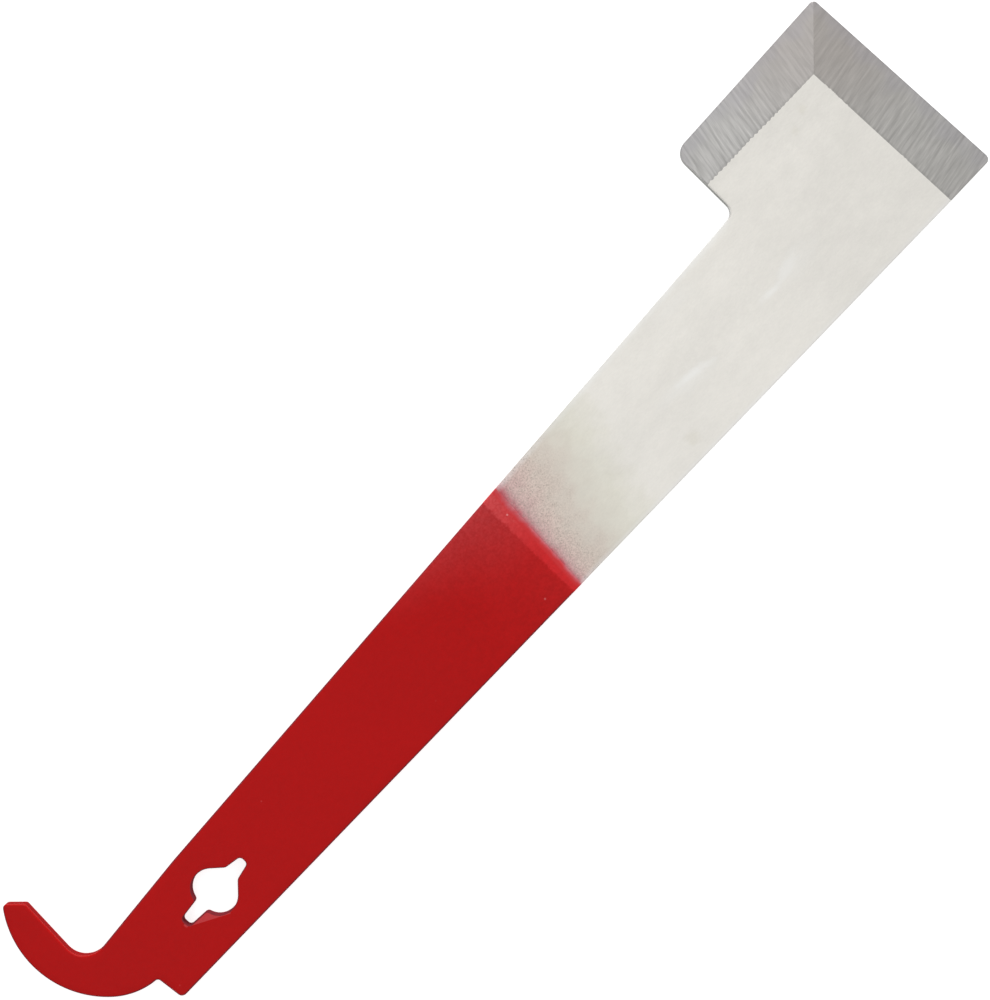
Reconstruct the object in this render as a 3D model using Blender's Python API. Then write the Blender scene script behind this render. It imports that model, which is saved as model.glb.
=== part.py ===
"""Hive tool with a J hook.

A flat steel bar lies on its back face. One end is a square scraper head with two
ground edges that meet in a mitre. The other end is a painted handle with a keyhole
for pulling nails, a J hook for lifting frames and a short square heel.

+X runs along the bar towards the scraper head, +Y towards the side that the hook and
the side blade stand out on, +Z out of the ground front face. The origin is under the
middle of the bounding box. Lengths are in millimetres here and become metres when
the meshes are made.
"""

import math

import bmesh
import bpy
from mathutils import Vector

MM = 0.001

# ---- driving dimensions, mm. The drawing's X is measured from a datum just inside the
# ---- end cutting edge, and its Y from the head's right corner

# head and bar
END_X = 0.85  # end cutting edge
HEAD_LEFT_Y = 51.24  # side cutting edge, parallel to X
RIGHT_AT_0 = -0.05  # straight right edge: Y where X is 0 ...
RIGHT_SLOPE = -0.0353  # ... and its slope, which tapers the bar towards the hook
LEFT_AT_0 = 34.10  # left edge between the notch and the knee
LEFT_SLOPE = 0.0188
LEFT_KNEE_X = -228.0  # beside the keyhole the left edge turns a little further in
LEFT_LOW_SLOPE = 0.0477
NOTCH_OUTER_X = -43.9  # back end of the side blade, at its cutting edge
NOTCH_INNER_X = -44.8  # the same end where it meets the shank
R_HEAD_RIGHT = 1.25
R_HEAD_OUTER = 1.1
R_NOTCH_OUTER = 3.4
R_NOTCH_INNER = 2.3

# thicknesses and ground faces
PLATE = 3.0  # handle, over its coat
BLADE = 2.5  # bare blade
EDGE = 0.4  # left at the outer corner of the cutting edges
END_BEVEL_AT_MITRE = 12.5  # widths of the two ground faces in plan
END_BEVEL_AT_RIGHT = 12.95
SIDE_BEVEL_AT_MITRE = 10.9
SIDE_BEVEL_AT_NOTCH = 9.75

# shoulder
CREASE_LEFT_X = -127.15  # top of the ramp, on the bar's left and right edges
CREASE_RIGHT_X = -128.25
RAMP = 3.7  # length of the ramp down to the blade's face
MOUTH_LEFT_X = -122.9  # end of the coat, on the bar's left and right edges
MOUTH_RIGHT_X = -125.8

# hook and heel
HOOK_CENTRE = (-242.29, 35.90)  # outer arc
HOOK_R = 22.75
HOOK_TAIL_R = 16.0  # the tighter arc that carries it on to the heel ...
HOOK_TAIL_FROM = 224.0  # ... from this angle about the outer arc's centre, degrees
HOOK_INNER_X = -257.25  # inner face, where Y is 35 ...
HOOK_INNER_SLOPE = 0.088  # ... and how far X moves for each mm of Y
HOOK_TIP_INNER = (-256.19, 47.14)  # corners of the tip's flat end, before rounding
HOOK_TIP_OUTER = (-259.50, 50.77)
R_THROAT = 5.2
R_TIP_INNER = 0.8
R_TIP_OUTER = 0.9
HEEL_X = -249.0  # heel's end face, where Y is 14 ...
HEEL_SLOPE = -0.075
R_HEEL = 1.25
R_HEEL_INNER = 0.8

# keyhole, in its own axes: X along the bar towards the head, Y across it
KEYHOLE_AT = (-227.0, 18.8)
KEYHOLE_TURN = -0.9  # degrees from the bar's X
KEYHOLE_HALF = 5.3  # half width of the round middle
KEYHOLE_FLARE_X = 1.55  # where the middle's side turns in towards the head slot
KEYHOLE_WALL_X = -3.2  # where it turns in towards the hook slot
KEYHOLE_HEAD_ROOT = (5.2, 1.77)
KEYHOLE_HEAD_TIP = (9.03, 1.03)
KEYHOLE_HOOK_ROOT = (-4.4, 1.62)
KEYHOLE_HOOK_TIP = (-9.3, 1.18)
R_KEYHOLE_MIDDLE = 4.1
R_KEYHOLE_HEAD_ROOT = 1.6
R_KEYHOLE_HOOK_ROOT = 0.9
R_KEYHOLE_TIP = 0.9

# coat
COAT = 0.2  # thickness
GAP = 0.1  # between the coat and the steel that it wraps

ARC_STEP = 9.0  # degrees between points on a small arc

RED = (0.38, 0.009, 0.010, 1.0)
STEEL = (0.62, 0.60, 0.57, 1.0)


# ---- plane geometry


def left_y(x):
    """The bar's left edge, before its corners are rounded."""
    if x >= LEFT_KNEE_X:
        return LEFT_AT_0 + LEFT_SLOPE * x
    return LEFT_AT_0 + LEFT_SLOPE * LEFT_KNEE_X + LEFT_LOW_SLOPE * (x - LEFT_KNEE_X)


def right_y(x):
    return RIGHT_AT_0 + RIGHT_SLOPE * x


def hook_inner_x(y):
    return HOOK_INNER_X + HOOK_INNER_SLOPE * (y - 35.0)


def heel_x(y):
    return HEEL_X + HEEL_SLOPE * (y - 14.0)


def crossing(x_of_y, y_of_x, y):
    """Where an edge given as x(y) meets one given as y(x), from a first guess at y."""
    for _ in range(60):
        y = y_of_x(x_of_y(y))
    return x_of_y(y), y


def on_arc(centre, radius, angle):
    return centre[0] + radius * math.cos(angle), centre[1] + radius * math.sin(angle)


def angle_about(centre, point):
    return math.atan2(point[1] - centre[1], point[0] - centre[0]) % (2 * math.pi)


def tail_centre():
    """Centre of the tail's arc, which is tangent to the outer arc where it takes over."""
    return on_arc(HOOK_CENTRE, HOOK_R - HOOK_TAIL_R, math.radians(HOOK_TAIL_FROM))


def tail_lower_y(x):
    centre = tail_centre()
    return centre[1] - math.sqrt(HOOK_TAIL_R**2 - (x - centre[0]) ** 2)


def arc_corners(centre, radius, first, last):
    """Points along an arc without its last one, as corners that aren't rounded."""
    steps = max(2, round(math.degrees(last - first) / (ARC_STEP / 2)))
    return [(*on_arc(centre, radius, first + (last - first) * k / steps), 0) for k in range(steps)]


def rounded(corners):
    """Points of a loop of (x, y, radius) corners, each rounded by its tangent arc."""
    points = []
    for i, (x, y, r) in enumerate(corners):
        if r <= 0:
            points.append((x, y))
            continue
        here = Vector((x, y))
        before = (Vector(corners[i - 1][:2]) - here).normalized()
        after = (Vector(corners[(i + 1) % len(corners)][:2]) - here).normalized()
        between = before.angle(after)
        centre = here + (before + after).normalized() * (r / math.sin(between / 2))
        start = here + before * (r / math.tan(between / 2)) - centre
        turn = math.pi - between
        sign = 1 if before.cross(after) < 0 else -1
        steps = max(2, round(math.degrees(turn) / ARC_STEP))
        for k in range(steps + 1):
            a = sign * turn * k / steps
            points.append(
                (
                    centre.x + start.x * math.cos(a) - start.y * math.sin(a),
                    centre.y + start.x * math.sin(a) + start.y * math.cos(a),
                )
            )
    return points


def inset(points, distance):
    """A counter-clockwise loop with every edge moved in, or out if distance is negative."""
    moved = []
    for i, p in enumerate(points):
        here = Vector(p)
        before = (here - Vector(points[i - 1])).normalized()
        after = (Vector(points[(i + 1) % len(points)]) - here).normalized()
        normal = Vector((-before.y - after.y, before.x + after.x)).normalized()
        reach = distance / normal.dot(Vector((-after.y, after.x)))
        moved.append((here.x + normal.x * reach, here.y + normal.y * reach))
    return moved


def clipped(points, line, keep):
    """The part of a loop on the head's side (keep 1) or the hook's side (keep -1) of a line."""
    low, high = Vector(line[0]), Vector(line[1])
    along = (high - low).normalized()
    normal = Vector((along.y, -along.x)) * keep
    result = []
    for i, p in enumerate(points):
        q = points[(i + 1) % len(points)]
        hp, hq = normal.dot(Vector(p) - low), normal.dot(Vector(q) - low)
        if hp >= 0:
            result.append(p)
        if hp * hq < 0:
            t = hp / (hp - hq)
            result.append((p[0] + (q[0] - p[0]) * t, p[1] + (q[1] - p[1]) * t))
    return result


def bar_outline():
    """The whole bar, counter-clockwise from the head's right corner."""
    heel_inner = crossing(heel_x, tail_lower_y, 14.0)
    hook_from = angle_about(HOOK_CENTRE, HOOK_TIP_OUTER) + math.radians(4)
    tail_from = math.radians(HOOK_TAIL_FROM)
    corners = [
        (END_X, right_y(END_X), R_HEAD_RIGHT),
        (END_X, HEAD_LEFT_Y, R_HEAD_OUTER),
        (NOTCH_OUTER_X, HEAD_LEFT_Y, R_NOTCH_OUTER),
        (NOTCH_INNER_X, left_y(NOTCH_INNER_X), R_NOTCH_INNER),
        (LEFT_KNEE_X, left_y(LEFT_KNEE_X), 0),
        (*crossing(hook_inner_x, left_y, 28.0), R_THROAT),
        (*HOOK_TIP_INNER, R_TIP_INNER),
        (*HOOK_TIP_OUTER, R_TIP_OUTER),
    ]
    corners += arc_corners(HOOK_CENTRE, HOOK_R, hook_from, tail_from)
    corners += arc_corners(tail_centre(), HOOK_TAIL_R, tail_from, angle_about(tail_centre(), heel_inner))
    corners += [(*heel_inner, R_HEEL_INNER), (*crossing(heel_x, right_y, 8.5), R_HEEL)]
    return rounded(corners)


def keyhole_outline():
    """A round middle with a narrow slot to each side along the bar, counter-clockwise."""
    half = [
        (*KEYHOLE_HEAD_TIP, R_KEYHOLE_TIP),
        (*KEYHOLE_HEAD_ROOT, R_KEYHOLE_HEAD_ROOT),
        (KEYHOLE_FLARE_X, KEYHOLE_HALF, R_KEYHOLE_MIDDLE),
        (KEYHOLE_WALL_X, KEYHOLE_HALF, R_KEYHOLE_MIDDLE),
        (*KEYHOLE_HOOK_ROOT, R_KEYHOLE_HOOK_ROOT),
        (*KEYHOLE_HOOK_TIP, R_KEYHOLE_TIP),
    ]
    corners = half + [(x, -y, r) for x, y, r in reversed(half)]
    c, s = math.cos(math.radians(KEYHOLE_TURN)), math.sin(math.radians(KEYHOLE_TURN))
    return [(KEYHOLE_AT[0] + x * c - y * s, KEYHOLE_AT[1] + x * s + y * c) for x, y in rounded(corners)]


def mouth(shift=0.0):
    """The line across the bar where the coat ends, moved towards the head by shift."""
    return (
        (MOUTH_RIGHT_X + shift, right_y(MOUTH_RIGHT_X + shift)),
        (MOUTH_LEFT_X + shift, left_y(MOUTH_LEFT_X + shift)),
    )


OUTLINE = bar_outline()
KEYHOLE = keyhole_outline()
CENTRE = (
    (min(p[0] for p in OUTLINE) + max(p[0] for p in OUTLINE)) / 2,
    (min(p[1] for p in OUTLINE) + max(p[1] for p in OUTLINE)) / 2,
)


# ---- solids


def material(name, colour, metallic, roughness):
    made = bpy.data.materials.new(name)
    made.use_nodes = True
    shader = made.node_tree.nodes["Principled BSDF"]
    shader.inputs["Base Color"].default_value = colour
    shader.inputs["Metallic"].default_value = metallic
    shader.inputs["Roughness"].default_value = roughness
    made.diffuse_color = colour
    return made


def add(name, bm):
    bmesh.ops.recalc_face_normals(bm, faces=bm.faces)
    mesh = bpy.data.meshes.new(name)
    bm.to_mesh(mesh)
    bm.free()
    made = bpy.data.objects.new(name, mesh)
    bpy.context.scene.collection.objects.link(made)
    return made


def placed(bm, x, y, z):
    """A vertex at a point of the drawing, in the part's own frame."""
    return bm.verts.new(((x - CENTRE[0]) * MM, (y - CENTRE[1]) * MM, z * MM))


def prism(name, loop, low, high, holes=()):
    """A loop, less its holes, extruded from one height to another."""
    bm = bmesh.new()
    edges = []
    for ring in (loop, *holes):
        verts = [placed(bm, x, y, low) for x, y in ring]
        edges += [bm.edges.new((verts[i - 1], verts[i])) for i in range(len(verts))]
    bmesh.ops.triangle_fill(bm, use_beauty=True, use_dissolve=False, edges=edges)
    raised = bmesh.ops.extrude_face_region(bm, geom=list(bm.faces))["geom"]
    top = [v for v in raised if isinstance(v, bmesh.types.BMVert)]
    bmesh.ops.translate(bm, verts=top, vec=(0, 0, (high - low) * MM))
    return add(name, bm)


def bar_cutter(name, a, b, height, profile, overrun=40.0):
    """A straight cutter along the line from a to b. Its profile is (out, up) points:
    out is measured level from the line, to the left of its direction, up from height."""
    a, b = Vector(a), Vector(b)
    along = (b - a).normalized()
    bm = bmesh.new()
    rings = []
    for end in (a - along * overrun, b + along * overrun):
        rings.append([placed(bm, end.x - along.y * out, end.y + along.x * out, height + up) for out, up in profile])
    for i in range(len(profile)):
        bm.faces.new((rings[0][i - 1], rings[0][i], rings[1][i], rings[1][i - 1]))
    bm.faces.new(rings[0])
    bm.faces.new(rings[1])
    return add(name, bm)


def ramp_cutter(name, lowered):
    """What stands over the shoulder's ramp and over the blade beyond it."""
    crease = (CREASE_LEFT_X, left_y(CREASE_LEFT_X)), (CREASE_RIGHT_X, right_y(CREASE_RIGHT_X))
    step = PLATE - BLADE
    profile = [(-2.0, 2.0 * step / RAMP), (RAMP, -step), (140.0, -step), (140.0, 6.0), (-2.0, 6.0)]
    return bar_cutter(name, *crease, PLATE - lowered, profile)


def grinding_cutter(name, a, b, corner):
    """What stands over a ground face. The face leaves the blade's front on the line
    from a to b, and falls to the cutting edge's thickness at the outer corner."""
    along = (Vector(b) - Vector(a)).normalized()
    reach = along.cross(Vector(corner) - Vector(a))
    fall = (BLADE - EDGE) / reach
    profile = [(-6.0, 6.0 * fall), (reach + 8.0, -(reach + 8.0) * fall), (reach + 8.0, 6.0), (-6.0, 6.0)]
    return bar_cutter(name, a, b, BLADE, profile)


def combine(target, tool, operation="DIFFERENCE"):
    modifier = target.modifiers.new(tool.name, "BOOLEAN")
    modifier.operation = operation
    modifier.solver = "EXACT"
    modifier.object = tool
    tool.hide_render = True
    tool.display_type = "WIRE"


def steel_bar():
    """The blade at full section, joined to the handle's core, which is drawn in all
    round by the coat and its clearance so that the coated handle is at its true size."""
    blade = prism("steel_bar", clipped(OUTLINE, mouth(GAP), 1), 0.0, PLATE)
    combine(blade, ramp_cutter("blade_ramp_cutter", 0.0))
    mitre = (END_X - END_BEVEL_AT_MITRE, HEAD_LEFT_Y - SIDE_BEVEL_AT_MITRE)
    corner = (END_X, HEAD_LEFT_Y)
    end_low = (END_X - END_BEVEL_AT_RIGHT, right_y(END_X - END_BEVEL_AT_RIGHT))
    side_low = (NOTCH_INNER_X, HEAD_LEFT_Y - SIDE_BEVEL_AT_NOTCH)
    combine(blade, grinding_cutter("end_bevel_cutter", mitre, end_low, corner))
    combine(blade, grinding_cutter("side_bevel_cutter", side_low, mitre, corner))

    skin = COAT + GAP
    outline = clipped(inset(OUTLINE, skin), mouth(6.0), -1)
    core = prism("handle_core", outline, skin, PLATE - skin, [inset(KEYHOLE, -skin)])
    combine(core, ramp_cutter("core_ramp_cutter", skin))
    combine(blade, core, "UNION")
    blade.data.materials.append(material("bare_steel", STEEL, 1.0, 0.42))
    return blade


def handle_coating():
    """A sleeve over the handle, the hook and the heel. It is open at its mouth, towards
    the blade, and it lines the keyhole."""
    coat = prism("handle_coating", clipped(OUTLINE, mouth(), -1), 0.0, PLATE, [KEYHOLE])
    combine(coat, ramp_cutter("coat_ramp_cutter", 0.0))
    outline = clipped(inset(OUTLINE, COAT), mouth(6.0), -1)
    cavity = prism("coat_cavity", outline, COAT, PLATE - COAT, [inset(KEYHOLE, -COAT)])
    combine(cavity, ramp_cutter("cavity_ramp_cutter", COAT))
    combine(coat, cavity)
    coat.data.materials.append(material("red_coat", RED, 0.0, 0.38))
    return coat


def main():
    for old in list(bpy.data.objects):
        bpy.data.objects.remove(old, do_unlink=True)
    steel_bar()
    handle_coating()


main()
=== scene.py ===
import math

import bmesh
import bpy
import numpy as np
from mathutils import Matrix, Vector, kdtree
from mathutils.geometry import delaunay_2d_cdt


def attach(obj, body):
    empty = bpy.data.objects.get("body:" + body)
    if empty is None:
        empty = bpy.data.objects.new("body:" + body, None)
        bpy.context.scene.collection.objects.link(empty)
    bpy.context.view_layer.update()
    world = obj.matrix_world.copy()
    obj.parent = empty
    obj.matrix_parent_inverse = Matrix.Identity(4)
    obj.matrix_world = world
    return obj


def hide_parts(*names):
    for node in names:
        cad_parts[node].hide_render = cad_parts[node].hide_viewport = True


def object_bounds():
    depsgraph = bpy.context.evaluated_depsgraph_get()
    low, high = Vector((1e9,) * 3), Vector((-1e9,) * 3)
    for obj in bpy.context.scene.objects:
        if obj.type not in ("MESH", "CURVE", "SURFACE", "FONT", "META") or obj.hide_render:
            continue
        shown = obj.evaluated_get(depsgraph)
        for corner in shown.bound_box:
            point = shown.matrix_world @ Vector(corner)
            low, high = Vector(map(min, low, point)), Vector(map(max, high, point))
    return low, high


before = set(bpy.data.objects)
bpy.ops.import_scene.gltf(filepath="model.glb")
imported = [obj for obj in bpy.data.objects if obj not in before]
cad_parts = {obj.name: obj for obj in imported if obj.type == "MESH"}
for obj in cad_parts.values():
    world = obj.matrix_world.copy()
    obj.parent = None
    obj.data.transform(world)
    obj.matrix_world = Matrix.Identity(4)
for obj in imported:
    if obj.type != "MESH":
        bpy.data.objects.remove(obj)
CAD_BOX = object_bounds()

# The looks of a hive tool with a J hook: the bare steel bar with its two ground faces,
# and the red sprayed coat over the handle, the hook and the keyhole's walls.
#
# Plane shapes are worked out in the bar's drawing, in millimetres: X runs along the bar
# with 0 just inside the end cutting edge, Y runs across it with 0 at the head's right
# corner. They are set into the CAD box by the drawing's own bounding box.

MM = 0.001

# ---- the bar's drawing, mm

END_X = 0.85
HEAD_LEFT_Y = 51.24
RIGHT_AT_0 = -0.05
RIGHT_SLOPE = -0.0353
LEFT_AT_0 = 34.10
LEFT_SLOPE = 0.0188
LEFT_KNEE_X = -228.0
LEFT_LOW_SLOPE = 0.0477
NOTCH_OUTER_X = -43.9
NOTCH_INNER_X = -44.8
R_HEAD_RIGHT = 1.25
R_HEAD_OUTER = 1.1
R_NOTCH_OUTER = 3.4
R_NOTCH_INNER = 2.3

PLATE = 3.0
BLADE = 2.5
EDGE = 0.4
END_BEVEL_AT_MITRE = 12.5
END_BEVEL_AT_RIGHT = 12.95
SIDE_BEVEL_AT_MITRE = 10.9
SIDE_BEVEL_AT_NOTCH = 9.75

CREASE_LEFT_X = -127.15
CREASE_RIGHT_X = -128.25
RAMP = 3.7
MOUTH_LEFT_X = -122.9
MOUTH_RIGHT_X = -125.8

HOOK_CENTRE = (-242.29, 35.90)
HOOK_R = 22.75
HOOK_TAIL_R = 16.0
HOOK_TAIL_FROM = 224.0
HOOK_INNER_X = -257.25
HOOK_INNER_SLOPE = 0.088
HOOK_TIP_INNER = (-256.19, 47.14)
HOOK_TIP_OUTER = (-259.50, 50.77)
R_THROAT = 5.2
R_TIP_INNER = 0.8
R_TIP_OUTER = 0.9
HEEL_X = -249.0
HEEL_SLOPE = -0.075
R_HEEL = 1.25
R_HEEL_INNER = 0.8

KEYHOLE_AT = (-227.0, 18.8)
KEYHOLE_TURN = -0.9
KEYHOLE_HALF = 5.3
KEYHOLE_FLARE_X = 1.55
KEYHOLE_WALL_X = -3.2
KEYHOLE_HEAD_ROOT = (5.2, 1.77)
KEYHOLE_HEAD_TIP = (9.03, 1.03)
KEYHOLE_HOOK_ROOT = (-4.4, 1.62)
KEYHOLE_HOOK_TIP = (-9.3, 1.18)
R_KEYHOLE_MIDDLE = 4.1
R_KEYHOLE_HEAD_ROOT = 1.6
R_KEYHOLE_HOOK_ROOT = 0.9
R_KEYHOLE_TIP = 0.9

# ---- edges and skins, mm

R_BLADE_EDGE = 0.24  # worn round of the bare blade's front edges
R_COAT_EDGE = 0.46  # the coat runs round the handle's front edges
R_BACK_EDGE = 0.22
R_KEYHOLE_EDGE = 0.20
COAT = 0.20  # thickness of the coat ...
COAT_AT_MOUTH = 0.03  # ... which feathers out towards the blade
SEAT = 0.30  # how deep the steel lies under the coated size ...
SEAT_AT_MOUTH = 0.05
FEATHER = 2.2  # ... and the length over which both are reached
FACET_LINE = ((-9.0, -1.2), (-1.8, -5.35))  # coined facet beside the keyhole's hook slot, in the keyhole's axes
FACET_SLOPE = 0.30

ARC_RUN = 0.42  # length of the steps along an arc
RUN = 0.55  # length of the steps along a straight edge
GRIND_STEP = 0.20  # mesh size on the ground faces


# ---- plane geometry


def left_y(x):
    if x >= LEFT_KNEE_X:
        return LEFT_AT_0 + LEFT_SLOPE * x
    return LEFT_AT_0 + LEFT_SLOPE * LEFT_KNEE_X + LEFT_LOW_SLOPE * (x - LEFT_KNEE_X)


def right_y(x):
    return RIGHT_AT_0 + RIGHT_SLOPE * x


def hook_inner_x(y):
    return HOOK_INNER_X + HOOK_INNER_SLOPE * (y - 35.0)


def heel_x(y):
    return HEEL_X + HEEL_SLOPE * (y - 14.0)


def crossing(x_of_y, y_of_x, y):
    for _ in range(60):
        y = y_of_x(x_of_y(y))
    return x_of_y(y), y


def on_arc(centre, radius, angle):
    return centre[0] + radius * math.cos(angle), centre[1] + radius * math.sin(angle)


def angle_about(centre, point):
    return math.atan2(point[1] - centre[1], point[0] - centre[0]) % (2 * math.pi)


def tail_centre():
    return on_arc(HOOK_CENTRE, HOOK_R - HOOK_TAIL_R, math.radians(HOOK_TAIL_FROM))


def tail_lower_y(x):
    centre = tail_centre()
    return centre[1] - math.sqrt(HOOK_TAIL_R**2 - (x - centre[0]) ** 2)


def arc_corners(centre, radius, first, last):
    steps = max(2, math.ceil(abs(last - first) * radius / ARC_RUN))
    return [(*on_arc(centre, radius, first + (last - first) * k / steps), 0) for k in range(steps)]


def rounded(corners):
    """Points of a loop of (x, y, radius) corners, each rounded by its tangent arc."""
    points = []
    for i, (x, y, r) in enumerate(corners):
        if r <= 0:
            points.append((x, y))
            continue
        here = Vector((x, y))
        before = (Vector(corners[i - 1][:2]) - here).normalized()
        after = (Vector(corners[(i + 1) % len(corners)][:2]) - here).normalized()
        between = before.angle(after)
        centre = here + (before + after).normalized() * (r / math.sin(between / 2))
        start = here + before * (r / math.tan(between / 2)) - centre
        turn = math.pi - between
        sign = 1 if before.cross(after) < 0 else -1
        steps = max(6, math.ceil(turn * r / ARC_RUN))
        for k in range(steps + 1):
            a = sign * turn * k / steps
            points.append(
                (
                    centre.x + start.x * math.cos(a) - start.y * math.sin(a),
                    centre.y + start.x * math.sin(a) + start.y * math.cos(a),
                )
            )
    return points


def bar_outline():
    """The whole bar, counter-clockwise from the head's right corner."""
    heel_inner = crossing(heel_x, tail_lower_y, 14.0)
    hook_from = angle_about(HOOK_CENTRE, HOOK_TIP_OUTER) + math.radians(4)
    tail_from = math.radians(HOOK_TAIL_FROM)
    corners = [
        (END_X, right_y(END_X), R_HEAD_RIGHT),
        (END_X, HEAD_LEFT_Y, R_HEAD_OUTER),
        (NOTCH_OUTER_X, HEAD_LEFT_Y, R_NOTCH_OUTER),
        (NOTCH_INNER_X, left_y(NOTCH_INNER_X), R_NOTCH_INNER),
        (LEFT_KNEE_X, left_y(LEFT_KNEE_X), 0),
        (*crossing(hook_inner_x, left_y, 28.0), R_THROAT),
        (*HOOK_TIP_INNER, R_TIP_INNER),
        (*HOOK_TIP_OUTER, R_TIP_OUTER),
    ]
    corners += arc_corners(HOOK_CENTRE, HOOK_R, hook_from, tail_from)
    corners += arc_corners(tail_centre(), HOOK_TAIL_R, tail_from, angle_about(tail_centre(), heel_inner))
    while math.hypot(corners[-1][0] - heel_inner[0], corners[-1][1] - heel_inner[1]) < 1.6 * R_HEEL_INNER:
        corners.pop()  # the heel's inner round starts here
    corners += [(*heel_inner, R_HEEL_INNER), (*crossing(heel_x, right_y, 8.5), R_HEEL)]
    return rounded(corners)


def keyhole_outline():
    """A round middle with a narrow slot to each side along the bar, counter-clockwise."""
    half = [
        (*KEYHOLE_HEAD_TIP, R_KEYHOLE_TIP),
        (*KEYHOLE_HEAD_ROOT, R_KEYHOLE_HEAD_ROOT),
        (KEYHOLE_FLARE_X, KEYHOLE_HALF, R_KEYHOLE_MIDDLE),
        (KEYHOLE_WALL_X, KEYHOLE_HALF, R_KEYHOLE_MIDDLE),
        (*KEYHOLE_HOOK_ROOT, R_KEYHOLE_HOOK_ROOT),
        (*KEYHOLE_HOOK_TIP, R_KEYHOLE_TIP),
    ]
    corners = half + [(x, -y, r) for x, y, r in reversed(half)]
    c, s = math.cos(math.radians(KEYHOLE_TURN)), math.sin(math.radians(KEYHOLE_TURN))
    return [(KEYHOLE_AT[0] + x * c - y * s, KEYHOLE_AT[1] + x * s + y * c) for x, y in rounded(corners)]


def keyhole_axes(x, y):
    """A point of the drawing in the keyhole's own axes."""
    c, s = math.cos(math.radians(KEYHOLE_TURN)), math.sin(math.radians(KEYHOLE_TURN))
    dx, dy = x - KEYHOLE_AT[0], y - KEYHOLE_AT[1]
    return dx * c + dy * s, -dx * s + dy * c


def divided(points, step, closed=True):
    """The same line with its long runs cut into equal steps. step(x, y) is the longest."""
    result = []
    count = len(points)
    for i in range(count if closed else count - 1):
        p, q = np.array(points[i]), np.array(points[(i + 1) % count])
        length = float(np.hypot(*(q - p)))
        if length < 1e-7:
            continue
        parts = max(1, math.ceil(length / step(*((p + q) / 2)) - 1e-6))
        if length > 3:
            # long runs are cut finer where the middle asks for less than the ends
            t, at = 0.0, [0.0]
            while t < length:
                here = p + (q - p) * (t / length)
                t += step(*here)
                at.append(min(t, length))
            at = np.array(at) * (length / at[-1])
            if len(at) > 2 and at[-1] - at[-2] < 0.3 * (at[-2] - at[-3]):
                at = np.delete(at, -2)
            result += [tuple(p + (q - p) * (a / length)) for a in at[:-1]]
        else:
            result += [tuple(p + (q - p) * (k / parts)) for k in range(parts)]
    if not closed:
        result.append(tuple(points[-1]))
    return result


def split_at(points, line):
    """The loop from where it crosses the line going down in X to where it crosses it going
    up: the handle's side, as an open chain that starts and ends on the line."""
    low, high = np.array(line[0]), np.array(line[1])
    along = (high - low) / np.hypot(*(high - low))
    normal = np.array((along[1], -along[0]))
    side = [float(normal @ (np.array(p) - low)) for p in points]
    count = len(points)
    for i in range(count):
        j = (i + 1) % count
        if side[i] > 0 >= side[j]:
            t = side[i] / (side[i] - side[j])
            chain = [tuple(np.array(points[i]) + (np.array(points[j]) - np.array(points[i])) * t)]
            while side[j] <= 0:
                chain.append(points[j])
                j = (j + 1) % count
            k = j - 1
            t = side[k] / (side[k] - side[j])
            chain.append(tuple(np.array(points[k]) + (np.array(points[j]) - np.array(points[k])) * t))
            if np.hypot(*(np.array(chain[0]) - np.array(chain[1]))) < 0.02:
                chain.pop(1)
            if np.hypot(*(np.array(chain[-1]) - np.array(chain[-2]))) < 0.02:
                chain.pop(-2)
            return chain
    raise ValueError("the line doesn't cross the loop")


def inward(points, closed=True):
    """Unit normals to the left of a chain, scaled so that a step keeps its distance to both runs."""
    p = np.array(points)
    before = p - np.roll(p, 1, 0)
    after = np.roll(p, -1, 0) - p
    if not closed:
        before[0], after[-1] = after[0], before[-1]
    before /= np.hypot(before[:, 0], before[:, 1])[:, None]
    after /= np.hypot(after[:, 0], after[:, 1])[:, None]
    n = np.stack([-(before[:, 1] + after[:, 1]), before[:, 0] + after[:, 0]], -1)
    n /= np.hypot(n[:, 0], n[:, 1])[:, None]
    reach = -n[:, 0] * after[:, 1] + n[:, 1] * after[:, 0]
    return n / np.maximum(reach, 0.5)[:, None]


def inside(x, y, loop):
    """Which points lie inside a closed loop."""
    result = np.zeros(len(x), bool)
    px, py = np.array(loop)[:, 0], np.array(loop)[:, 1]
    for i in range(len(px)):
        x0, y0, x1, y1 = px[i - 1], py[i - 1], px[i], py[i]
        if y0 == y1:
            continue
        hit = (y0 > y) != (y1 > y)
        if hit.any():
            at = x0 + (y[hit] - y0) * (x1 - x0) / (y1 - y0)
            sub = result[hit]
            sub ^= x[hit] < at
            result[hit] = sub
    return result


def smooth_step(t):
    t = np.clip(t, 0, 1)
    return t * t * (3 - 2 * t)


def wander(u, period, seed):
    """Smooth noise along a line, from -1 to 1."""
    table = np.random.default_rng(seed).random(4096) * 2 - 1
    t = np.asarray(u, float) / period + 2000.0
    i = np.floor(t).astype(int)
    f = t - i
    f = f * f * (3 - 2 * f)
    return table[i % 4096] * (1 - f) + table[(i + 1) % 4096] * f


def past(line, x, y):
    """Distance past a line (two points), to the left of its direction."""
    a, b = np.array(line[0]), np.array(line[1])
    along = (b - a) / np.hypot(*(b - a))
    return along[0] * (y - a[1]) - along[1] * (x - a[0])


OUTLINE = bar_outline()
KEYHOLE = keyhole_outline()
LOW = np.array(OUTLINE).min(0)
HIGH = np.array(OUTLINE).max(0)
CENTRE = (LOW + HIGH) / 2
SET_X = (CAD_BOX[0].x + CAD_BOX[1].x) / 2 / MM
SET_Y = (CAD_BOX[0].y + CAD_BOX[1].y) / 2 / MM
SET_Z = CAD_BOX[0].z / MM

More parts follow.
